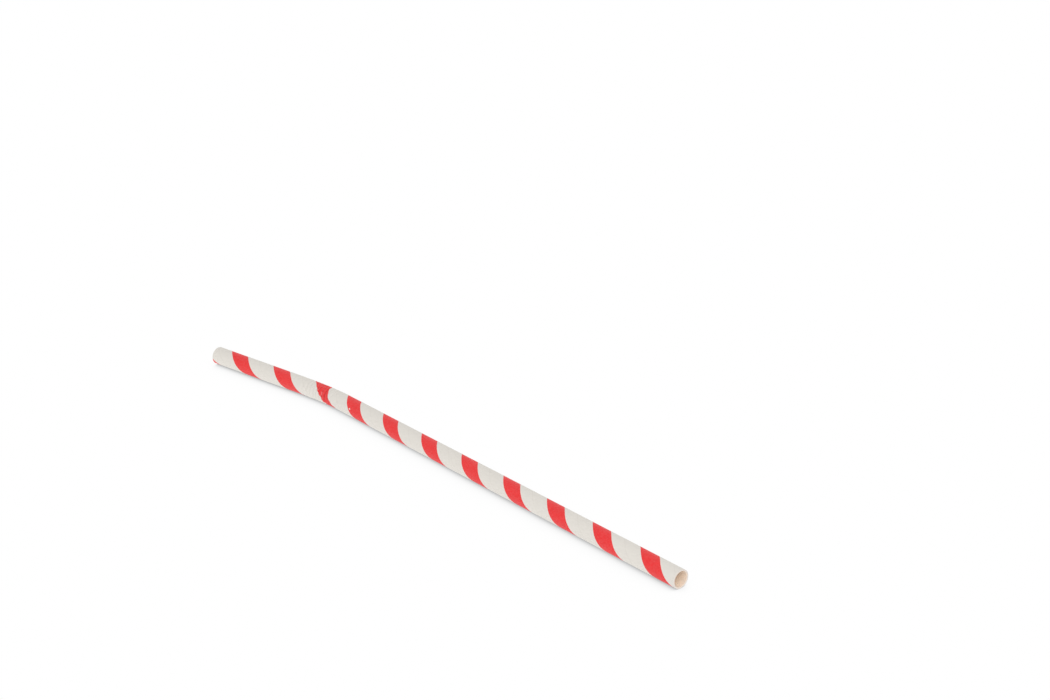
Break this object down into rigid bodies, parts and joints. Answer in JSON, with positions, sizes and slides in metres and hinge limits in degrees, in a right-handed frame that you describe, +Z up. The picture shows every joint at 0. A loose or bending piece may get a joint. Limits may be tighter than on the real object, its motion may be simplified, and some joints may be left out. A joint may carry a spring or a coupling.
{
  "type": "flexible paper drinking straw",
  "caption": "Paper tube for drinking, open at both ends, with a crimped zone that lets the short end bend; lies on its side, striped red and white.",
  "frame": {"origin": "centre of the mouth of the long straight part, on the tube's axis", "axes": "+X runs along the long part towards the crimped zone, +Z is up from the table it lies on, and the short part turns towards +Y"},
  "size_m": [0.2214, 0.0152, 0.006],
  "materials": {
    "paper": "matt uncoated white paper with a printed red spiral stripe"
  },
  "bodies": {
    "root": {"straw": "paper"}
  },
  "joints": []
}
